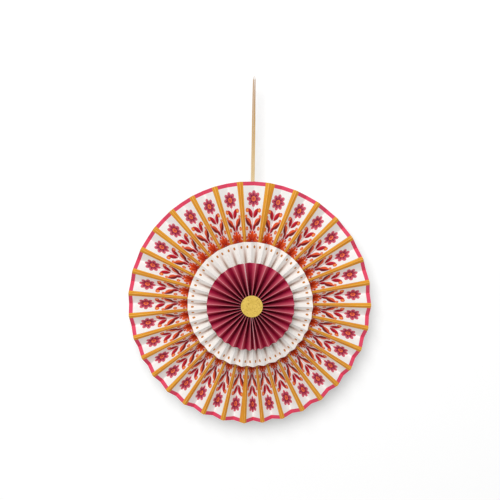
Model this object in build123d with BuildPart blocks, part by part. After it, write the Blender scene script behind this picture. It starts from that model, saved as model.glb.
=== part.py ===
from build123d import *
import os
from math import asin, cos, degrees, pi, radians, sin, sqrt

os.makedirs("parts", exist_ok=True)

# Lengths are millimetres and angles are degrees, clockwise from the top as seen from the front.
# The fan faces -Y and hangs on a ribbon loop whose inside rests on a nail at the origin.

# Paper, card and glue
paper_thickness = 0.25
card_thickness = 1.0
lap_glue = 0.05
hub_glue = 0.1
hub_radius = 5.0

# Large fan. The rim slope is how steeply the panels of an evenly spread pleat stand at the rim. The
# pleat shares say how wide the pleats stand beside one another, clockwise from the one after the pleat
# at the upper seam, which is pulled open.
large_radius = 200.0
large_rim_slope_angle = 40.4
large_first_ridge_angle = -6.0
large_open_depth_share = 0.39
large_flap_share = 0.42
large_seam_pleats = (1, 17)
large_pleat_shares = (
    13.4, 11.8, 11.5, 11.5, 11.5, 11.5, 11.1, 11.0, 10.7, 10.4, 9.9, 10.4, 10.3, 10.3, 9.8, 8.7,
    10.3, 9.9, 10.1, 10.0, 10.2, 9.7, 10.3, 10.9, 10.8, 10.7, 10.9, 11.5, 11.7, 11.7, 11.5,
    12.1,
)

# Middle fan
middle_radius = 102.0
middle_rim_slope_angle = 51.3
middle_first_ridge_angle = -13.4
middle_open_depth_share = 0.88
middle_flap_share = 0.42
middle_seam_pleats = (1, 16)
middle_pleat_shares = (
    12.2, 11.5, 11.4, 11.9, 11.5, 11.3, 10.9, 10.7, 11.1, 11.2, 10.5, 10.5, 10.8, 10.6, 10.8,
    9.7, 10.3, 11.1, 11.5, 11.1, 11.5, 10.5, 10.7, 10.9, 10.6, 11.0, 11.1, 12.0, 12.6, 12.3,
    13.1,
)

# Small fan, glued a little low
small_radius = 70.6
small_rim_slope_angle = 62.5
small_below_centre = 1.2
small_first_ridge_angle = -10.3
small_open_depth_share = 0.88
small_flap_share = 0.14
small_seam_pleats = (0, 15)
small_pleat_shares = (
    14.1, 14.6, 12.5, 12.8, 12.6, 13.5, 12.0, 11.5, 11.6, 11.1, 10.9, 11.1, 10.6, 7.5, 7.1,
    11.5, 11.9, 11.6, 11.6, 11.9, 12.0, 11.0, 11.7, 11.9, 12.7, 12.8, 13.1, 12.8, 13.6,
)

# Where each fold line is set out, as shares of the way from the hub to the rim
fold_station_shares = (0, 0.04, 0.13, 0.35, 0.65, 1)
# How far down its pleat a glued flap reaches at the hub; each fan has its own share at the rim
flap_hub_share = 0.1

# Card discs glued to the hubs, and the gold card in front
back_card_radius = 32.0
middle_card_radius = 26.0
small_card_radius = 22.0
gold_card_radius = 17.5
gold_card_right_of_centre = 1.9
gold_card_thickness = 0.6
gold_card_edge_round = 0.25

# Ribbon loop, edge-on where it goes over the nail and flat where it is glued
ribbon_width = 3.0
ribbon_thickness = 0.25
ribbon_strand_gap = 0.2
ribbon_twist_length = 168.0
ribbon_twist_steps = 8
ribbon_glued_past_centre = 20.0
ribbon_off_centre = 1.2
nail_radius = 1.2
nail_stand_off = 3.0
hang_drop = 371.0


class PleatedRing:
    """A ring of pleats around a hub, folded so that every panel has the same width."""

    def __init__(self, radius, rim_slope_angle, first_ridge_angle, open_depth_share, pleat_shares,
                 flap_share, back, below_centre=0):
        self.pleats = len(pleat_shares) + 1
        self.even_pitch = 360 / self.pleats
        self.panel_width = chord(radius, self.even_pitch) / cos(radians(rim_slope_angle))
        # The first pleat, at the upper seam, is pulled open until it is this much shallower
        open_depth = open_depth_share * self.panel_width * sin(radians(rim_slope_angle))
        open_chord = sqrt(self.panel_width**2 - open_depth**2)
        open_pitch = 4 * degrees(asin(open_chord / (2 * radius)))
        unit_pitch = (360 - open_pitch) / sum(pleat_shares)
        self.pitches = [open_pitch] + [unit_pitch * share for share in pleat_shares]
        self.ridge_angles = [first_ridge_angle]
        for pitch in self.pitches:
            self.ridge_angles.append(self.ridge_angles[-1] + pitch)
        self.stations = [hub_radius + share * (radius - hub_radius) for share in fold_station_shares]
        self.flap_reach_shares = [
            flap_hub_share + share * (flap_share - flap_hub_share) for share in fold_station_shares
        ]
        self.hub_crest = self.crest(hub_radius)
        self.back = back
        self.centre_z = hub_z - below_centre
        self.middle = back + self.hub_crest
        self.front = self.middle + self.hub_crest + lap_glue + paper_thickness

    def ridge(self, radius):
        """Height of the ridge folds in front of the ring's middle plane."""
        return sqrt(self.panel_width**2 - chord(radius, self.even_pitch) ** 2) / 2

    def crest(self, radius):
        return self.ridge(radius) + paper_thickness / 2

    def drop(self, radius, pitch):
        """How far a valley lies behind its two ridges."""
        return sqrt(self.panel_width**2 - chord(radius, pitch) ** 2)

    def inside_rise(self, radius):
        """How far the inside corner of a fold stands off its fold line."""
        return paper_thickness / 2 * self.panel_width / chord(radius, self.even_pitch)

    def fold_half_width(self, radius, pitch):
        return paper_thickness / 2 * self.panel_width / self.drop(radius, pitch)

    def point(self, radius, angle, sideways, height):
        turn = radians(angle)
        return Vector(
            radius * sin(turn) + sideways * cos(turn),
            hub_y - self.middle - height,
            self.centre_z + radius * cos(turn) - sideways * sin(turn),
        )


def chord(radius, pitch):
    """Distance across one panel at a radius, half a pleat from ridge to valley."""
    return 2 * radius * sin(radians(pitch / 4))


def fold_line(points):
    with BuildLine() as fold:
        Spline(*points)
    return fold.edge()


def ridge_outside(ring, angle, side, pitch, rise=0):
    return fold_line([
        ring.point(r, angle, side * ring.fold_half_width(r, pitch), ring.crest(r) + rise)
        for r in ring.stations
    ])


def ridge_inside(ring, angle, sideways=0):
    return fold_line([
        ring.point(r, angle, sideways, ring.ridge(r) - ring.inside_rise(r)) for r in ring.stations
    ])


def valley_inside_point(ring, radius, angle, pitch):
    height = ring.ridge(radius) - ring.drop(radius, pitch) + ring.inside_rise(radius)
    return ring.point(radius, angle, 0, height)


def valley_inside(ring, angle, pitch):
    return fold_line([valley_inside_point(ring, r, angle, pitch) for r in ring.stations])


def valley_outside(ring, angle, side, pitch):
    return fold_line([
        ring.point(r, angle, side * ring.fold_half_width(r, pitch),
                   ring.ridge(r) - ring.drop(r, pitch) - paper_thickness / 2)
        for r in ring.stations
    ])


def flap_fold(ring, angle, pitch, stand_off):
    """The flap's fold, outside the next strip's ridge by the same amount on both faces."""
    points = []
    for r in ring.stations:
        mitre_share = (ring.panel_width - chord(r, pitch)) / ring.drop(r, pitch)
        sideways = ring.fold_half_width(r, pitch) + stand_off * mitre_share
        points.append(ring.point(r, angle, sideways, ring.crest(r) + stand_off))
    return fold_line(points)


def flap_end(ring, angle, pitch, stand_off):
    """The flap's free edge, part of the way down the next strip's first panel."""
    points = []
    for r, reach_share in zip(ring.stations, ring.flap_reach_shares):
        top = ring.point(r, angle, ring.fold_half_width(r, pitch), ring.crest(r))
        foot = valley_inside_point(ring, r, angle + pitch / 2, pitch)
        panel_middle = angle + pitch / 4
        outward = ring.point(0, panel_middle, ring.drop(r, pitch), chord(r, pitch)) - ring.point(0, 0, 0, 0)
        points.append(top + (foot - top) * reach_share + outward * (stand_off / ring.panel_width))
    return fold_line(points)


def lapped_flap(ring, seam):
    """The strip's last ridge, and the flap glued over the strip that starts there."""
    angle = ring.ridge_angles[seam]
    pitch_before = ring.pitches[seam - 1]
    pitch_after = ring.pitches[seam]
    outer = lap_glue + paper_thickness
    return [
        (ridge_outside(ring, angle, -1, pitch_before), ridge_inside(ring, angle, -lap_glue)),
        (
            ridge_outside(ring, angle, -1, pitch_before, outer),
            fold_line([ring.point(r, angle, -lap_glue, ring.crest(r) + lap_glue) for r in ring.stations]),
        ),
        (flap_fold(ring, angle, pitch_after, outer), flap_fold(ring, angle, pitch_after, lap_glue)),
        (flap_end(ring, angle, pitch_after, outer), flap_end(ring, angle, pitch_after, lap_glue)),
    ]


def strip_columns(ring, first, last):
    """Pairs of front and back lines along a strip, one pair for each corner of its section."""
    columns = []
    for place in range(first, last):
        ridge_angle = ring.ridge_angles[place % ring.pleats]
        pitch = ring.pitches[place % ring.pleats]
        pitch_before = ring.pitches[place % ring.pleats - 1]
        valley_angle = ridge_angle + pitch / 2
        under_ridge = ridge_inside(ring, ridge_angle)
        cut_edge = place == first
        columns.append((ridge_outside(ring, ridge_angle, 0 if cut_edge else -1, pitch_before), under_ridge))
        columns.append((ridge_outside(ring, ridge_angle, 1, pitch), under_ridge))
        in_valley = valley_inside(ring, valley_angle, pitch)
        columns.append((in_valley, valley_outside(ring, valley_angle, -1, pitch)))
        columns.append((in_valley, valley_outside(ring, valley_angle, 1, pitch)))
    return columns + lapped_flap(ring, last % ring.pleats)


def cut_face(column, next_column, end):
    """The paper's cut edge between two columns, at the hub (end 0) or the rim (end 1)."""
    front, back = column
    next_front, next_back = next_column
    if front is next_front:
        return Face(Wire.make_polygon([front @ end, next_back @ end, back @ end]))
    if back is next_back:
        return Face(Wire.make_polygon([front @ end, next_front @ end, back @ end]))
    front_cut = Edge.make_line(front @ end, next_front @ end)
    back_cut = Edge.make_line(back @ end, next_back @ end)
    return Face.make_surface_from_curves(front_cut, back_cut)


def folded_sheet(columns):
    """A sheet closed from its twisted panels, each ruled between two fold lines."""
    faces = [Face.make_surface_from_curves(*columns[0]), Face.make_surface_from_curves(*columns[-1])]
    for column, next_column in zip(columns, columns[1:]):
        for line, next_line in zip(column, next_column):
            if line is not next_line:
                faces.append(Face.make_surface_from_curves(line, next_line))
        faces.append(cut_face(column, next_column, 0))
        faces.append(cut_face(column, next_column, 1))
    return Solid(Shell(faces))


def save(piece, name):
    piece.label = name
    export_step(piece, f"parts/{name}.step")


def save_fan(ring, seam_pleats, name):
    """Two strips make the ring: one down the right side and one up the left side."""
    upper, lower = seam_pleats
    with BuildPart() as right_strip:
        add(folded_sheet(strip_columns(ring, upper, lower)))
    save(right_strip.part, f"{name}_right_strip")
    with BuildPart() as left_strip:
        add(folded_sheet(strip_columns(ring, lower, upper + ring.pleats)))
    save(left_strip.part, f"{name}_left_strip")


def facing_front(forward):
    """A plane across the hub's axis, this far in front of the ribbon."""
    return Plane(origin=(0, hub_y - forward, hub_z), x_dir=(1, 0, 0), z_dir=(0, -1, 0))


# The back card stands against the wall, with the ribbon between it and the large fan's folds
hub_z = -hang_drop
hub_y = nail_stand_off - card_thickness - hub_glue - ribbon_thickness / 2
back_card_front = -ribbon_thickness / 2 - hub_glue

large_ring = PleatedRing(
    large_radius, large_rim_slope_angle, large_first_ridge_angle, large_open_depth_share,
    large_pleat_shares, large_flap_share,
    ribbon_thickness / 2 + hub_glue,
)
middle_card_back = large_ring.front + hub_glue
middle_ring = PleatedRing(
    middle_radius, middle_rim_slope_angle, middle_first_ridge_angle, middle_open_depth_share,
    middle_pleat_shares, middle_flap_share,
    middle_card_back + card_thickness + hub_glue,
)
small_card_back = middle_ring.front + hub_glue
small_ring = PleatedRing(
    small_radius, small_rim_slope_angle, small_first_ridge_angle, small_open_depth_share,
    small_pleat_shares, small_flap_share,
    small_card_back + card_thickness + hub_glue, small_below_centre,
)
gold_card_back = small_ring.front + hub_glue

save_fan(large_ring, large_seam_pleats, "large_fan")
save_fan(middle_ring, middle_seam_pleats, "middle_fan")
save_fan(small_ring, small_seam_pleats, "small_fan")

with BuildPart() as back_card:
    with BuildSketch(facing_front(back_card_front)):
        Circle(back_card_radius)
    extrude(amount=-card_thickness)
save(back_card.part, "back_card")

with BuildPart() as middle_hub_card:
    with BuildSketch(facing_front(middle_card_back)):
        Circle(middle_card_radius)
    extrude(amount=card_thickness)
save(middle_hub_card.part, "middle_hub_card")

with BuildPart() as small_hub_card:
    with BuildSketch(facing_front(small_card_back)):
        Circle(small_card_radius)
    extrude(amount=card_thickness)
save(small_hub_card.part, "small_hub_card")

with BuildPart() as gold_centre_card:
    with BuildSketch(facing_front(gold_card_back)):
        with Locations((gold_card_right_of_centre, 0)):
            Circle(gold_card_radius)
    extrude(amount=gold_card_thickness)
    fillet(gold_centre_card.edges().group_by(Axis.Y)[0], gold_card_edge_round)
save(gold_centre_card.part, "gold_centre_card")

# Each strand leaves the nail edge-on, turns a quarter on its way down, and lies flat from there
bow_x = nail_radius + ribbon_thickness / 2
bow_top_z = ribbon_thickness / 2
flat_x = (ribbon_width + ribbon_strand_gap) / 2
flat_top_z = -nail_radius - ribbon_twist_length
ribbon_end_z = hub_z - ribbon_glued_past_centre
ribbon_route = [
    (ribbon_off_centre - flat_x, hub_y, ribbon_end_z),
    (ribbon_off_centre - flat_x, hub_y, flat_top_z),
    (-bow_x, 0, bow_top_z),
    (bow_x, 0, bow_top_z),
    (ribbon_off_centre + flat_x, hub_y, flat_top_z),
    (ribbon_off_centre + flat_x, hub_y, ribbon_end_z),
]
strands = [ribbon_route[2::-1], ribbon_route[3:]]

with BuildPart() as ribbon_loop:
    with BuildSketch(Plane.XZ):
        with Locations((0, -nail_radius)):
            Circle(nail_radius + ribbon_thickness)
            Circle(nail_radius, mode=Mode.SUBTRACT)
            Rectangle(4 * bow_x, 2 * bow_x, align=(Align.CENTER, Align.MAX), mode=Mode.SUBTRACT)
    extrude(amount=ribbon_width / 2, both=True)
    for bow_corner, flat_top, glued_end in strands:
        for step in range(ribbon_twist_steps + 1):
            way_share = step / ribbon_twist_steps
            turn = pi / 2 * way_share
            top = Vector(bow_corner[0], bow_corner[1], -nail_radius)
            centre = top + (Vector(*flat_top) - top) * way_share
            with BuildSketch(Plane(origin=centre, x_dir=(cos(turn), sin(turn), 0), z_dir=(0, 0, 1))):
                Rectangle(ribbon_thickness, ribbon_width)
        loft(ruled=True)
        with BuildSketch(Plane(origin=flat_top, x_dir=(1, 0, 0), z_dir=(0, 0, 1))):
            Rectangle(ribbon_width, ribbon_thickness)
        extrude(amount=glued_end[2] - flat_top[2])
save(ribbon_loop.part, "ribbon_loop")
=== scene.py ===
from math import asin, cos, degrees, pi, radians, sin, sqrt

import bpy
from mathutils import Matrix, Vector


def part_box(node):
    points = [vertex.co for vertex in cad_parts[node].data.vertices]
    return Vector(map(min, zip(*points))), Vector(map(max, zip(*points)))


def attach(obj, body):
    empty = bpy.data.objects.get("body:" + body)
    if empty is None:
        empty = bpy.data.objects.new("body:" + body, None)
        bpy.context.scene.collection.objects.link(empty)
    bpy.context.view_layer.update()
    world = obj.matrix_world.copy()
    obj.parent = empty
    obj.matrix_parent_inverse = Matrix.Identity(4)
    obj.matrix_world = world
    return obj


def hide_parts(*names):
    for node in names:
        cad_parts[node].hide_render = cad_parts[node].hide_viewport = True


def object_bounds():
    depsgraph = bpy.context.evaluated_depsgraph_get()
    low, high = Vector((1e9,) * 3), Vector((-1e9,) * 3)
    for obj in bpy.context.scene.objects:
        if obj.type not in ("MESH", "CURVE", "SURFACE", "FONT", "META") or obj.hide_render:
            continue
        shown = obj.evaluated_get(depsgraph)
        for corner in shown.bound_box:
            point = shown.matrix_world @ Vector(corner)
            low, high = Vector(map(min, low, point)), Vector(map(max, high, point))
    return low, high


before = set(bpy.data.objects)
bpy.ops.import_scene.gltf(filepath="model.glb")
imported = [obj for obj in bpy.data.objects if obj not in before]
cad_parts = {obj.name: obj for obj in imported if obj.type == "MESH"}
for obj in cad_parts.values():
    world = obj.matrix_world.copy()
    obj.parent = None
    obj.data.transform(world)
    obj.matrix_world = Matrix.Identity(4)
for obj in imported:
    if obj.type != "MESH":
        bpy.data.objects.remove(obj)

cad_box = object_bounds()

# Lengths are metres. Angles are degrees, clockwise from the top as seen from the front.
mm = 0.001
to_mm = 1000

# The photograph's view
view_azimuth = -1.439
view_elevation = 3.552
view_roll = 1.138
view_aim = Vector((-1.34, 0, -284.3)) * mm
view_distance = 1500 * mm
lens_length = 65.15

# Light and backdrop
key_direction = Vector((-0.24, -1, 0.5))
key_strength = 0.68
sky_strength = 0.43
lamp_distance = 5
lamp_size = 3.4
backdrop_glow = 0.085
backdrop_size = 12
wall_gap = 33 * mm
floor_drop = 250 * mm

# Folded paper and cards, with the CAD model's sizes
paper_thickness = 0.25 * mm
lap_glue = 0.05 * mm
hub_radius = 5 * mm
hub_z = -371 * mm
gold_card_x = 1.9 * mm
flap_hub_share = 0.1

# The paper's give, which the CAD model leaves out
crease_rounding = 0.4 * mm
bow_spread = 0.5 * mm
outward_bow_share = 0.35

# How finely a strip is cut, from hub to rim, across each panel and down a glued flap
rim_steps = 36
panel_shares = (0, 0.008, 0.02, 0.05, 0.12, 0.3, 0.5, 0.7, 0.88, 0.95, 0.98, 0.992)
flap_shares = (0.03, 0.08, 0.2, 0.4, 0.6, 0.8, 1)
smooth_angle = 40

# How fine the noise is that stands for paper fibres
fibre_scale = 900

# Ribbon, with the CAD model's sizes
ribbon_width = 3 * mm
ribbon_thickness = 0.25 * mm
nail_radius = 1.2 * mm
twist_length = 168 * mm
nail_twist_length = 4 * mm
nail_twist_angle = 24
across_shares = (-0.5, -0.25, 0, 0.25, 0.5)
route_steps = 24
# Up the left strand, over the nail and down the right strand; two points near the nail hold each
# strand straight up to it
ribbon_route = [Vector(place) * mm for place in (
    (-0.4, 1.775, -391), (-0.4, 1.775, -169.2), (-1.225, 0.19, -18), (-1.325, 0, -2.5),
    (-1.325, 0, 0.125), (1.325, 0, 0.125),
    (1.325, 0, -2.5), (1.475, 0.19, -18), (2.8, 1.775, -169.2), (2.8, 1.775, -391),
)]


def select_only(piece):
    bpy.ops.object.select_all(action="DESELECT")
    piece.select_set(True)
    bpy.context.view_layer.objects.active = piece


def primitive(operator, name, **settings):
    """A new primitive, with nothing else selected."""
    bpy.ops.object.select_all(action="DESELECT")
    operator(**settings)
    piece = bpy.context.object
    piece.name = piece.data.name = name
    return piece


def finish_with(piece, kind, **settings):
    """Adds a modifier to a piece and applies it."""
    select_only(piece)
    bpy.ops.object.modifier_add(type=kind)
    modifier = piece.modifiers[-1]
    for setting, value in settings.items():
        setattr(modifier, setting, value)
    bpy.ops.object.modifier_apply(modifier=modifier.name)


def sheet_through(name, rows, papers, thickness, **sides):
    """A sheet laid through rows of points, each with its place on the flat sheet, and thickened."""
    steps, columns = len(rows) - 1, len(rows[0]) - 1
    piece = primitive(bpy.ops.mesh.primitive_grid_add, name, x_subdivisions=columns,
                      y_subdivisions=steps, size=1)
    sheet = piece.data.uv_layers.new(name="sheet")
    piece.data.uv_layers.active = sheet
    flat = []
    for vertex in piece.data.vertices:
        row = rows[round((vertex.co.y + 0.5) * steps)]
        vertex.co, on_sheet = row[round((vertex.co.x + 0.5) * columns)]
        flat.append(on_sheet)
    for corner in piece.data.loops:
        sheet.data[corner.index].uv = flat[corner.vertex_index]
    for paper in papers:
        piece.data.materials.append(paper)
    finish_with(piece, "SOLIDIFY", thickness=thickness, offset=0, **sides)
    bpy.ops.object.shade_smooth_by_angle(angle=radians(smooth_angle))
    return piece


# ---- colours and materials ----

def ink(red, green, blue):
    """A colour given as a printer would, 0 to 255."""
    shares = [value / 255 for value in (red, green, blue)]
    return (*(s / 12.92 if s <= 0.04045 else ((s + 0.055) / 1.055) ** 2.4 for s in shares), 1)


class Wire:
    """A number or colour in a recipe; arithmetic on it adds Math nodes."""

    def __init__(self, recipe, socket):
        self.recipe, self.socket = recipe, socket

    def math(self, operation, *others, clamp=False):
        settings = {"operation": operation, "use_clamp": clamp}
        return self.recipe.node("ShaderNodeMath", settings, (self, *others))

    def __add__(self, other):
        return self.math("ADD", other)

    def __mul__(self, other):
        return self.math("MULTIPLY", other)

    def __sub__(self, other):
        return self.math("SUBTRACT", other)

    def __rsub__(self, other):
        return self.recipe.node("ShaderNodeMath", {"operation": "SUBTRACT"}, (other, self))

    def __truediv__(self, other):
        return self.math("DIVIDE", other)

    def __pow__(self, other):
        return self.math("POWER", other)

    def __abs__(self):
        return self.math("ABSOLUTE")

    __radd__ = __add__

    def inside(self, softness=0.12):
        """1 where this distance is positive and 0 where it is negative, with a soft edge."""
        return self.math("MULTIPLY_ADD", 1 / softness, 0.5, clamp=True)

    def ramp(self, low, high):
        """0 up to low and 1 from high."""
        return self.math("MULTIPLY_ADD", 1 / (high - low), -low / (high - low), clamp=True)


class Recipe:
    """A material made of nodes."""

    def __init__(self, name, holder=None):
        self.material = holder or bpy.data.materials.new(name)
        self.material.use_nodes = True
        self.tree = self.material.node_tree
        self.tree.nodes.clear()

    def node(self, kind, settings=None, inputs=(), output=0):
        """A node with its settings, then the values or wires of its sockets."""
        made = self.tree.nodes.new(kind)
        for setting, value in (settings or {}).items():
            setattr(made, setting, value)
        for place, value in inputs.items() if isinstance(inputs, dict) else enumerate(inputs):
            if isinstance(value, Wire):
                self.tree.links.new(value.socket, made.inputs[place])
            else:
                made.inputs[place].default_value = value
        return Wire(self, made.outputs[output] if made.outputs else None)

    def mix(self, share, first, second):
        """The first colour where share is 0, and the second where it is 1."""
        # The node's colour sockets share their names with others, so they go by number
        return self.node("ShaderNodeMix", {"data_type": "RGBA"}, {0: share, 6: first, 7: second}, 2)

    def parts(self, vector):
        """The three numbers of a vector."""
        split = self.node("ShaderNodeSeparateXYZ", None, (vector,))
        return [Wire(self, socket) for socket in split.socket.node.outputs]

    def sheet_place(self):
        """Millimetres along a strip from its last ridge, and out from the hub's middle."""
        place = self.node("ShaderNodeUVMap", {"uv_map": "sheet"})
        along, out, _ = self.parts(place)
        return along * to_mm, out * to_mm

    def object_place(self):
        return self.node("ShaderNodeTexCoord", output="Object")

    def noise(self, vector, scale, detail=3.0):
        inputs = {"Vector": vector, "Scale": scale, "Detail": detail, "Roughness": 0.55}
        return self.node("ShaderNodeTexNoise", None, inputs)

    def vector(self, *numbers):
        return self.node("ShaderNodeCombineXYZ", None, numbers)

    def bump(self, height, distance, strength):
        inputs = {"Height": height, "Distance": distance, "Strength": strength}
        return self.node("ShaderNodeBump", None, inputs)

    def surface(self, colour, roughness, normal, shine=0.5, metallic=0.0):
        """A principled shader, joined to the material's output."""
        inputs = {"Base Color": colour, "Roughness": roughness, "Normal": normal,
                  "Specular IOR Level": shine, "Metallic": metallic}
        surface = self.node("ShaderNodeBsdfPrincipled", None, inputs)
        self.node("ShaderNodeOutputMaterial", None, (surface,))
        return self.material


# ---- camera, lamps, wall and floor ----

def add_camera():
    """The photograph's view: almost level, from slightly to the left, turned by about a degree."""
    azimuth, elevation, roll = map(radians, (view_azimuth, view_elevation, view_roll))
    level = Vector((sin(azimuth), -cos(azimuth), 0))
    towards = level * cos(elevation) + Vector((0, 0, sin(elevation)))
    right = Vector((0, 0, 1)).cross(towards).normalized()
    up = towards.cross(right)
    rolled_right = right * cos(roll) + up * sin(roll)
    rolled_up = up * cos(roll) - right * sin(roll)
    placed = Matrix((rolled_right, rolled_up, towards)).transposed().to_4x4()
    placed.translation = view_aim + towards * view_distance
    camera = bpy.data.objects.new("camera", bpy.data.cameras.new("camera"))
    bpy.context.scene.collection.objects.link(camera)
    camera.matrix_world = placed
    camera.data.lens = lens_length
    bpy.context.scene.camera = camera


def add_lamps():
    """One soft key lamp from the upper left, and an even pale surrounding."""
    towards = key_direction.normalized()
    lamp = bpy.data.lights.new("key_lamp", "AREA")
    lamp.shape, lamp.size = "DISK", lamp_size
    # A lamp's light falls off with the square of its distance
    lamp.energy = key_strength * pi * pi * lamp_distance**2
    holder = bpy.data.objects.new("key_lamp", lamp)
    bpy.context.scene.collection.objects.link(holder)
    holder.location = Vector((0, 0, hub_z)) + towards * lamp_distance
    holder.rotation_mode = "QUATERNION"
    holder.rotation_quaternion = towards.to_track_quat("Z", "Y")
    holder.visible_camera = False
    world = bpy.data.worlds.new("pale_surroundings")
    bpy.context.scene.world = world
    recipe = Recipe("world", world)
    strengths = {0: seen_directly(recipe), 2: sky_strength, 3: 1.0}
    strength = recipe.node("ShaderNodeMix", {"data_type": "FLOAT"}, strengths)
    light = recipe.node("ShaderNodeBackground", None, {"Color": (1, 1, 1, 1), "Strength": strength})
    recipe.node("ShaderNodeOutputWorld", None, (light,))


def seen_directly(recipe):
    """1 on a ray from the camera, or one that a shiny or clear surface sends on."""
    path = recipe.node("ShaderNodeLightPath").socket.node.outputs
    camera, glossy, clear = (Wire(recipe, path[name]) for name in
                             ("Is Camera Ray", "Is Glossy Ray", "Is Transmission Ray"))
    return camera.math("MAXIMUM", glossy).math("MAXIMUM", clear)


def backdrop_paint():
    """White where the camera sees it from the front, with shadows, and clear for all else."""
    recipe = Recipe("backdrop_paint")
    path = recipe.node("ShaderNodeLightPath").socket.node.outputs
    behind = Wire(recipe, recipe.node("ShaderNodeNewGeometry").socket.node.outputs["Backfacing"])
    shown = Wire(recipe, path["Is Camera Ray"]) * (1 - behind)
    paint = recipe.node("ShaderNodeBsdfDiffuse", None, {"Color": (1, 1, 1, 1)})
    glow = recipe.node("ShaderNodeEmission", None, {"Strength": backdrop_glow})
    lit = recipe.node("ShaderNodeAddShader", None, (paint, glow))
    clear = recipe.node("ShaderNodeBsdfTransparent")
    surface = recipe.node("ShaderNodeMixShader", None, (shown, clear, lit))
    recipe.node("ShaderNodeOutputMaterial", None, (surface,))
    return recipe.material


def add_backdrop():
    """A wall close behind the fan and a floor well below it."""
    paint = backdrop_paint()
    wall_y = cad_box[1].y + wall_gap
    floor_z = cad_box[0].z - floor_drop
    wall = primitive(bpy.ops.mesh.primitive_plane_add, "wall", size=backdrop_size,
                     location=(0, wall_y, floor_z + backdrop_size / 2), rotation=(pi / 2, 0, 0))
    floor = primitive(bpy.ops.mesh.primitive_plane_add, "floor", size=backdrop_size,
                      location=(0, wall_y - backdrop_size / 2, floor_z))
    for plane in (wall, floor):
        plane.data.materials.append(paint)


add_camera()
add_lamps()
add_backdrop()


# ---- papers ----

white_ground = ink(246, 246, 243)


def raw_paper(name, tone):
    """Unprinted paper, as on the back of a strip and along its cut edges."""
    recipe = Recipe(name)
    place = recipe.object_place()
    fibres = recipe.noise(place, fibre_scale)
    clouds = recipe.noise(place, 60)
    colour = recipe.mix(clouds * 0.5 + fibres * 0.5, tone, ink(255, 252, 248))
    normal = recipe.bump(fibres, 0.03 * mm, 0.5)
    return recipe.surface(colour, 0.9 - fibres * 0.1, normal)


def printed(recipe, colour, from_ridge, wear, shine=0.25):
    """Joins a print to the paper below it: fibres, a faint mottle and rubbed folds."""
    rubbed_width = 0.45
    place = recipe.object_place()
    fibres = recipe.noise(place, fibre_scale)
    mottle = recipe.noise(place, 160)
    colour = recipe.mix(mottle.ramp(0.35, 0.75) * 0.06, colour, ink(150, 120, 115))
    rubbed = from_ridge.ramp(rubbed_width, 0) * recipe.noise(place, 220).ramp(0.35, 0.65) * wear
    colour = recipe.mix(rubbed, colour, ink(255, 240, 232))
    normal = recipe.bump(fibres, 0.02 * mm, 0.4)
    return recipe.surface(colour, 0.62 + fibres * 0.12, normal, shine)


def leaf(across, out, at_across, at_out, turn, length, width):
    """How far a point lies inside a pointed leaf, and how far to one side of its vein."""
    turn = radians(turn)
    x, y = across - at_across, out - at_out
    along = x * sin(turn) + y * cos(turn)
    side = x * cos(turn) - y * sin(turn)
    return (1 - (along / length) ** 2) * width - abs(side), side


def oval(across, out, long_across, long_out):
    """How far a point lies inside an oval about the origin."""
    reach = ((across / long_across) ** 2 + (out / long_out) ** 2) ** 0.5
    return (1 - reach) * min(long_across, long_out)


def turned(across, out, lobes):
    """Distance along and beside the nearest of several lobes round the origin."""
    reach = (across * across + out * out) ** 0.5
    angle = across.math("ARCTAN2", out).math("PINGPONG", pi / lobes)
    return reach, reach * angle.math("COSINE"), reach * angle.math("SINE")


def add_stem(recipe, colour, across, out):
    """A thin stem in the valley, from the daisy up to the rosette."""
    stem = (0.6 - abs(across)).inside(0.3) * (out - 112).inside() * (160 - out).inside()
    return recipe.mix(stem * 0.8, colour, ink(158, 92, 112))


def add_daisy(recipe, colour, across, out):
    """Half a daisy about the origin, with dark veins and a dot between every two petals."""
    petal_count = 9
    half_petal = pi / petal_count
    _, lobe, beside = turned(across, out, petal_count)
    petals = oval(beside, lobe - 12, 5.2, 8.5).inside()
    petal_colour = recipe.mix(lobe.ramp(4, 17), ink(204, 58, 30), ink(236, 104, 42))
    colour = recipe.mix(petals, colour, petal_colour)
    veins = (0.8 - abs(beside)).inside(0.5) * (15 - lobe).inside(0.8)
    colour = recipe.mix(veins, colour, ink(168, 26, 32))
    spaced = lobe * cos(half_petal) + beside * sin(half_petal)
    between = beside * cos(half_petal) - lobe * sin(half_petal)
    tips = (2.3 - ((spaced - 19.5) ** 2 + between ** 2) ** 0.5).inside()
    return recipe.mix(tips, colour, ink(196, 30, 50))


def add_leaves(recipe, colour, across, out):
    """Leaves in mirrored pairs, each in two tones."""
    for at_across, at_out, turn, length, width, near, far in (
        (4.8, 126, 18, 8, 3.6, ink(204, 34, 44), ink(140, 14, 36)),
        (11, 134, 46, 10.5, 5.6, ink(232, 92, 48), ink(122, 22, 28)),
        (6, 148.5, 27, 9.5, 4.4, ink(206, 34, 54), ink(160, 8, 34)),
    ):
        inside, side = leaf(across, out, at_across, at_out, turn, length, width)
        leaf_colour = recipe.mix((side + 0.4).inside(0.5), near, far)
        colour = recipe.mix(inside.inside(), colour, leaf_colour)
    return colour


def add_berries(recipe, colour, across, out):
    for at_across, at_out, size in ((15.6, 123.5, 3.4), (16.4, 143.5, 2.8), (13.4, 153.5, 3.7)):
        away = ((across - at_across) ** 2 + (out - at_out) ** 2) ** 0.5
        berry = recipe.mix(away.ramp(size * 0.3, size * 0.8), ink(246, 160, 76), ink(228, 78, 48))
        colour = recipe.mix((size - away).inside(), colour, berry)
    return colour


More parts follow.
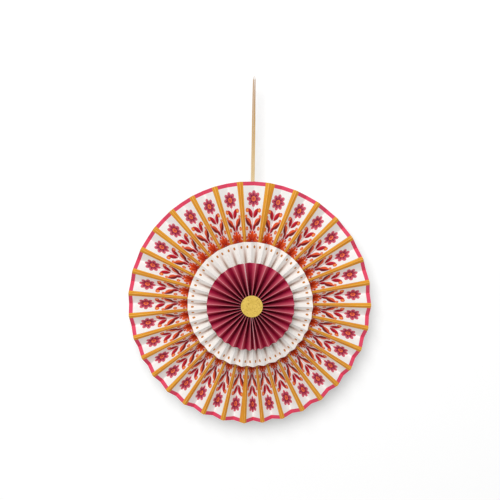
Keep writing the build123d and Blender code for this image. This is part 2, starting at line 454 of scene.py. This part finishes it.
def add_rosette(recipe, colour, across, out):
    """A rosette of eight petals about the origin, with dark slits and a ringed eye."""
    reach, lobe, beside = turned(across, out, 8)
    petals = oval(beside, lobe - 8.8, 3.6, 5).math("MAXIMUM", 5.2 - reach).inside()
    petal_colour = recipe.mix(lobe.ramp(5, 10), ink(164, 44, 78), ink(214, 96, 116))
    colour = recipe.mix(petals, colour, petal_colour)
    slits = (0.7 - abs(beside)).inside(0.4) * (lobe - 5).inside(0.6) * (10 - lobe).inside(0.8)
    colour = recipe.mix(slits, colour, ink(104, 18, 50))
    colour = recipe.mix((4.3 - reach).inside(), colour, ink(236, 128, 66))
    return recipe.mix((2.2 - reach).inside(), colour, ink(204, 66, 90))


def gold_foil(recipe, along, out, from_ridge):
    """Gold in fine streaks and ribs that run out from the hub, with a little glitter."""
    rib_spacing = 3.8
    streaks = recipe.noise(recipe.vector(along * 0.75, out * 0.02, 0), 1.0).ramp(0.38, 0.62)
    glitter = recipe.noise(recipe.vector(along * 1.6, out * 1.1, 0), 1.0).ramp(0.4, 0.65)
    ribs = (from_ridge * (2 * pi / rib_spacing) + 1.2).math("SINE") * 0.5 + 0.5
    shine = streaks * 0.45 + glitter * 0.25 + ribs * 0.3
    return recipe.mix(shine, ink(200, 108, 22), ink(254, 192, 56))


def printed_paper(panel):
    """Large fan: gold bands on the ridges, a pink rim, and one column of flowers in each valley."""
    daisy_out, rosette_out, rim_from, band_half_width = 99, 172, 193.6, 5.6
    recipe = Recipe("printed_paper")
    along, out = recipe.sheet_place()
    from_ridge = along.math("PINGPONG", panel)
    across = panel - from_ridge
    colour = add_stem(recipe, white_ground, across, out)
    colour = add_daisy(recipe, colour, across, out - daisy_out)
    colour = add_leaves(recipe, colour, across, out)
    colour = add_berries(recipe, colour, across, out)
    colour = add_rosette(recipe, colour, across, out - rosette_out)
    colour = recipe.mix((out - rim_from).inside(), colour, ink(228, 72, 104))
    # The bands lie over all else and turn solid on the glued flap
    band = (band_half_width - from_ridge).inside().math("MAXIMUM", along.inside())
    colour = recipe.mix(band, colour, gold_foil(recipe, along, out, from_ridge))
    return printed(recipe, colour, from_ridge, 0.25)


def dotted_paper(panel):
    """Middle fan: white, a small gold dot on each panel near the rim, and painted shade in the
    valleys.
    """
    dot_share, dot_out, dot_radius = 0.53, 94.3, 2.4
    recipe = Recipe("dotted_paper")
    along, out = recipe.sheet_place()
    from_ridge = along.math("PINGPONG", panel)
    away = ((from_ridge - panel * dot_share) ** 2 + (out - dot_out) ** 2) ** 0.5
    gold = recipe.mix(away.ramp(0.4, 1.6), ink(210, 142, 46), ink(192, 112, 26))
    # Painted shade: deep in the valleys and towards the hub, the white ground turns grey-brown.
    painted_valley_shade = from_ridge.ramp(9, 16) * out.ramp(106, 76)
    ground = recipe.mix(painted_valley_shade, ink(253, 249, 245), ink(178, 147, 132))
    colour = recipe.mix((dot_radius - away).inside(), ground, gold)
    return printed(recipe, colour, from_ridge, 0.1)


def crimson_paper(panel):
    """Small fan: crimson in painted light and shade, rubbed pale on its ridges, unprinted on the
    glued flap.
    """
    margin_from = 1.0
    recipe = Recipe("crimson_paper")
    along, out = recipe.sheet_place()
    from_ridge = along.math("PINGPONG", panel)
    place = recipe.object_place()
    # Painted shade: the valley colour darkens towards the hub, with a little random tone.
    painted_shade_crimson = recipe.mix(out.ramp(20, 64), ink(56, 0, 10), ink(170, 22, 66))
    painted_shade_crimson = recipe.mix(recipe.noise(place, 70).ramp(0.3, 0.7) * 0.15, painted_shade_crimson, ink(140, 8, 44))
    # Painted light: the ridge colour, paler towards the rim.
    lit = recipe.mix(out.ramp(24, 64), ink(190, 44, 76), ink(220, 104, 122))
    # Painted light and shade: pale on the ridges, deeper into the valleys.
    colour = recipe.mix(from_ridge.ramp(0.3, 11), lit, painted_shade_crimson)
    # A thin pale line on each ridge, partly a rubbed fold and partly a painted highlight.
    line = (0.5 - from_ridge).inside(0.6)
    colour = recipe.mix(line * 0.9, colour, ink(236, 152, 160))
    colour = recipe.mix((along - margin_from).inside(0.2), colour, white_ground)
    return printed(recipe, colour, from_ridge, 0.2, shine=0.05)


# ---- folded strips ----

def chord(radius, pitch):
    """Distance across one panel at a radius, half a pleat from ridge to valley."""
    return 2 * radius * sin(radians(pitch / 4))


class PleatedRing:
    """A ring of pleats around the hub, folded as in the CAD model: all panels are equally wide.

    The rim slope is how steeply the panels of an evenly spread pleat stand at the rim. The first
    pleat, at the upper seam, is pulled open; the pleat shares say how wide the others stand.
    """

    def __init__(self, name, radius, rim_slope_angle, first_ridge_angle, open_depth_share,
                 pleat_shares, flap_share, below_centre=0):
        self.radius, self.flap_share = radius * mm, flap_share
        self.pleats = len(pleat_shares) + 1
        self.even_pitch = 360 / self.pleats
        self.panel_width = chord(self.radius, self.even_pitch) / cos(radians(rim_slope_angle))
        open_depth = open_depth_share * self.panel_width * sin(radians(rim_slope_angle))
        open_chord = sqrt(self.panel_width**2 - open_depth**2)
        open_pitch = 4 * degrees(asin(open_chord / (2 * self.radius)))
        unit_pitch = (360 - open_pitch) / sum(pleat_shares)
        self.pitches = [open_pitch] + [unit_pitch * share for share in pleat_shares]
        self.ridge_angles = [first_ridge_angle]
        for pitch in self.pitches:
            self.ridge_angles.append(self.ridge_angles[-1] + pitch)
        self.centre_z = hub_z - below_centre * mm
        self.middle_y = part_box(f"{name}_right_strip")[1].y - self.crest(hub_radius)

    def ridge(self, radius):
        """Height of the ridge folds in front of the ring's middle plane."""
        return sqrt(self.panel_width**2 - chord(radius, self.even_pitch) ** 2) / 2

    def crest(self, radius):
        return self.ridge(radius) + paper_thickness / 2

    def drop(self, radius, pitch):
        """How far a valley lies behind its two ridges."""
        return sqrt(self.panel_width**2 - chord(radius, pitch) ** 2)

    def fold_half_width(self, radius, pitch):
        return paper_thickness / 2 * self.panel_width / self.drop(radius, pitch)

    def point(self, radius, angle, sideways, height):
        turn = radians(angle)
        return Vector((
            radius * sin(turn) + sideways * cos(turn),
            self.middle_y - height,
            self.centre_z + radius * cos(turn) - sideways * sin(turn),
        ))


def fold_corners(ring, radius, first, last):
    """The fold lines' points at one radius: ridge, valley, ridge and so on along a strip."""
    corners = []
    for place in range(first, last):
        angle = ring.ridge_angles[place % ring.pleats]
        pitch = ring.pitches[place % ring.pleats]
        corners.append(ring.point(radius, angle, 0, ring.ridge(radius)))
        valley = ring.ridge(radius) - ring.drop(radius, pitch)
        corners.append(ring.point(radius, angle + pitch / 2, 0, valley))
    return corners


def flap_corners(ring, radius, seam):
    """Over the seam's ridge and down the next strip's first panel, one paper's thickness off it."""
    angle = ring.ridge_angles[seam]
    before, after = ring.pitches[seam - 1], ring.pitches[seam]
    stand_off = lap_glue + paper_thickness / 2
    height = ring.crest(radius) + stand_off
    near = ring.point(radius, angle, -(ring.fold_half_width(radius, before) + lap_glue) / 2, height)
    half_width = ring.fold_half_width(radius, after)
    mitre_share = (ring.panel_width - chord(radius, after)) / ring.drop(radius, after)
    far = ring.point(radius, angle, half_width + stand_off * mitre_share, height)
    top = ring.point(radius, angle, half_width, ring.crest(radius))
    inside_rise = paper_thickness / 2 * ring.panel_width / chord(radius, ring.even_pitch)
    foot_height = ring.ridge(radius) - ring.drop(radius, after) + inside_rise
    foot = ring.point(radius, angle + after / 2, 0, foot_height)
    middle = angle + after / 4
    centre = ring.point(0, 0, 0, 0)
    outward = ring.point(0, middle, ring.drop(radius, after), chord(radius, after)) - centre
    way_out = (radius - hub_radius) / (ring.radius - hub_radius)
    reach_share = flap_hub_share + way_out * (ring.flap_share - flap_hub_share)
    end = top + (foot - top) * reach_share + outward * (stand_off / ring.panel_width)
    return near, far, end, reach_share * ring.panel_width


def crease(distance):
    """A distance from a fold, rounded off as the paper's crease is."""
    return (distance + sqrt(distance**2 + crease_rounding**2)) / 2


def bow(panel, seed):
    """How far a panel stands proud of flat in its middle, a little different for each."""
    # A steady stand-in for chance, from 0 to 1
    scatter = sin(panel * 12.9898 + seed * 4.1414) * 43758.5453 % 1
    return (scatter - outward_bow_share) * bow_spread


def folded_row(ring, radius, first, last, seed):
    """Points along a strip at one radius, each with its place on the flat sheet."""
    width = ring.panel_width
    corners = fold_corners(ring, radius, first, last)
    near, far, end, reach = flap_corners(ring, radius, last % ring.pleats)
    corners.append(near)
    runs = [(b - a).normalized() for a, b in zip(corners, corners[1:])]
    total = width * len(runs)
    row = []
    for panel, run in enumerate(runs):
        start, stop = corners[panel], corners[panel + 1]
        lean = panel % 2 * 2 - 1
        angle = ring.ridge_angles[(first + panel // 2) % ring.pleats]
        radial = ring.point(1, angle, 0, 0) - ring.point(0, 0, 0, 0)
        swell = 0 if panel == 0 else bow(panel, seed) * (radius / ring.radius)
        proud = run.cross(radial).normalized() * swell * lean
        # Each place follows its own panel's run and, close to a fold, the run beyond the fold too
        for share in panel_shares:
            ahead, back = share * width, (1 - share) * width
            if share < 0.5:
                place = start + run * (crease(ahead) if panel else ahead)
                if panel:
                    place -= runs[panel - 1] * crease(-ahead)
            elif panel + 1 < len(runs):
                place = stop - run * crease(back) + runs[panel + 1] * crease(-back)
            else:
                place = stop - run * back
            row.append((place + proud * sin(pi * share), (panel * width + ahead - total, radius)))
    over = (far - near).length
    row += [(near, (0, radius)), (far, (over, radius))]
    row += [(far + (end - far) * share, (over + share * reach, radius)) for share in flap_shares]
    return row


def fold_strip(ring, name, first, last, papers, seed):
    """A strip of paper folded into its pleats, with a material for its front, back and edge."""
    width = ring.radius - hub_radius
    radii = [hub_radius + step / rim_steps * width for step in range(rim_steps + 1)]
    rows = [folded_row(ring, radius, first, last, seed) for radius in radii]
    strip = sheet_through(f"{name}_paper", rows, papers, paper_thickness, material_offset=1,
                          material_offset_rim=2)
    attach(strip, "root")
    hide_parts(f"{name}_strip")


large_ring = PleatedRing(
    "large_fan", radius=200, rim_slope_angle=40.4, first_ridge_angle=-6, open_depth_share=0.39,
    flap_share=0.42, pleat_shares=(
        13.4, 11.8, 11.5, 11.5, 11.5, 11.5, 11.1, 11.0, 10.7, 10.4, 9.9, 10.4, 10.3, 10.3, 9.8, 8.7,
        10.3, 9.9, 10.1, 10.0, 10.2, 9.7, 10.3, 10.9, 10.8, 10.7, 10.9, 11.5, 11.7, 11.7, 11.5,
        12.1,
    ),
)
middle_ring = PleatedRing(
    "middle_fan", radius=102, rim_slope_angle=51.3, first_ridge_angle=-13.4, open_depth_share=0.88,
    flap_share=0.42, pleat_shares=(
        12.2, 11.5, 11.4, 11.9, 11.5, 11.3, 10.9, 10.7, 11.1, 11.2, 10.5, 10.5, 10.8, 10.6, 10.8,
        9.7, 10.3, 11.1, 11.5, 11.1, 11.5, 10.5, 10.7, 10.9, 10.6, 11.0, 11.1, 12.0, 12.6, 12.3,
        13.1,
    ),
)
small_ring = PleatedRing(
    "small_fan", radius=70.6, rim_slope_angle=62.5, first_ridge_angle=-10.3, open_depth_share=0.88,
    flap_share=0.14, below_centre=1.2, pleat_shares=(
        14.1, 14.6, 12.5, 12.8, 12.6, 13.5, 12.0, 11.5, 11.6, 11.1, 10.9, 11.1, 10.6, 7.5, 7.1,
        11.5, 11.9, 11.6, 11.6, 11.9, 12.0, 11.0, 11.7, 11.9, 12.7, 12.8, 13.1, 12.8, 13.6,
    ),
)
paper_back = raw_paper("paper_back", ink(246, 242, 238))
paper_edge = raw_paper("paper_edge", ink(255, 250, 246))
for seed, (name, ring, seams, front, slot) in enumerate((
    ("large_fan", large_ring, (1, 17), printed_paper, "printed_paper"),
    ("middle_fan", middle_ring, (1, 16), dotted_paper, "white_paper"),
    ("small_fan", small_ring, (0, 15), crimson_paper, "crimson_paper"),
)):
    upper, lower = seams
    papers = (front(ring.panel_width / mm), paper_back, paper_edge)
    fold_strip(ring, f"{name}_right", upper, lower, papers, seed * 2)
    fold_strip(ring, f"{name}_left", lower, upper + ring.pleats, papers, seed * 2 + 1)


# ---- cards ----

def grey_card():
    recipe = Recipe("grey_card")
    place = recipe.object_place()
    fibres = recipe.noise(place, 700, 4)
    flecks = recipe.noise(place, 260, 2).ramp(0.6, 0.72)
    colour = recipe.mix(fibres, ink(206, 200, 190), ink(226, 220, 210))
    colour = recipe.mix(flecks * 0.5, colour, ink(168, 160, 148))
    return recipe.surface(colour, 0.85, recipe.bump(fibres, 0.05 * mm, 0.6))


def gold_card():
    """Matte gold foil on card: a fine pebbled grain, faint clouding and a painted highlight round
    its edge.
    """
    recipe = Recipe("gold_card")
    place = recipe.object_place()
    x, _, z = recipe.parts(place)
    from_centre = ((x - gold_card_x) ** 2 + (z - hub_z) ** 2) ** 0.5 * to_mm
    grain = recipe.noise(place, 1100, 3)
    clouds = recipe.noise(place, 150, 4)
    specks = recipe.noise(place, 460, 2).ramp(0.54, 0.68)
    colour = recipe.mix(clouds.ramp(0.3, 0.7), ink(200, 167, 66), ink(217, 185, 84))
    colour = recipe.mix(specks * 0.7, colour, ink(158, 118, 30))
    # Painted highlight: a brighter ring round the card's edge.
    edge = from_centre.ramp(16.4, 17.8)
    colour = recipe.mix(edge * 0.5, colour, ink(226, 200, 108))
    normal = recipe.bump(grain + clouds * 0.6, 0.06 * mm, 0.6)
    return recipe.surface(colour, 0.46 + grain * 0.16, normal, metallic=0.35)


def dress_cards(names, material):
    for name in names:
        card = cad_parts[name]
        card.data.materials.clear()
        card.data.materials.append(material)


dress_cards(("back_card", "middle_hub_card", "small_hub_card"), grey_card())
dress_cards(("gold_centre_card",), gold_card())


# ---- ribbon ----

def spline_points(route):
    """Points along the smooth line that follows a route."""
    curve = bpy.data.curves.new("ribbon_line", "CURVE")
    curve.dimensions = "3D"
    curve.resolution_u = route_steps
    spline = curve.splines.new("NURBS")
    spline.points.add(len(route) - 1)
    for point, place in zip(spline.points, route):
        point.co = (*place, 1)
    spline.order_u = 3
    spline.use_endpoint_u = True
    line = bpy.data.objects.new("ribbon_line", curve)
    bpy.context.scene.collection.objects.link(line)
    mesh = bpy.data.meshes.new_from_object(line)
    points = [vertex.co.copy() for vertex in mesh.vertices]
    bpy.data.objects.remove(line)
    bpy.data.curves.remove(curve)
    bpy.data.meshes.remove(mesh)
    return points


def satin(length):
    """Tan satin ribbon: close threads across it, a firmer edge, and painted shade towards the nail.
    """
    recipe = Recipe("satin_ribbon")
    along, across = recipe.sheet_place()
    threads = (along * (2 * pi / 0.28)).math("SINE") * 0.5 + 0.5
    to_edge = 1.5 - abs(across)
    selvedge = (0.3 - to_edge).inside(0.15)
    clouds = recipe.noise(recipe.vector(along * 0.05, across * 0.6, 0), 1.0)
    colour = recipe.mix(clouds.ramp(0.35, 0.65), ink(225, 200, 152), ink(238, 217, 174))
    # Painted shade: darker and browner towards the nail, where the strands turn edge-on.
    from_nail = abs(along - length / 2 / mm)
    colour = recipe.mix(from_nail.ramp(190, 10) * 0.9, colour, ink(194, 140, 68))
    colour = recipe.mix(selvedge * 0.4, colour, ink(194, 162, 112))
    colour = recipe.mix(threads * 0.12, colour, ink(176, 140, 98))
    normal = recipe.bump(threads, 0.02 * mm, 0.5)
    return recipe.surface(colour, 0.45 + threads * 0.1, normal, shine=0.12)


def strand_turn(below_nail):
    """A strand's turn: edge-on at the nail, part turned just below it, then slowly to the front."""
    near_nail = min(1, max(0, below_nail / nail_twist_length))
    further_down = min(1, max(0, below_nail / twist_length))
    return radians(nail_twist_angle * near_nail + (90 - nail_twist_angle) * further_down)


def make_ribbon():
    points = spline_points(ribbon_route)
    travelled = [0]
    for point, following in zip(points, points[1:]):
        travelled.append(travelled[-1] + (following - point).length)
    rows = []
    for point, along in zip(points, travelled):
        turn = strand_turn(-nail_radius - point.z)
        sideways = Vector((-sin(turn), cos(turn), 0))
        rows.append([(point + sideways * across * ribbon_width, (along, across * ribbon_width))
                     for across in across_shares])
    ribbon = sheet_through("ribbon", rows, [satin(travelled[-1])], ribbon_thickness)
    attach(ribbon, "root")
    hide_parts("ribbon_loop")


make_ribbon()

bpy.context.scene.view_settings.view_transform = "Standard"
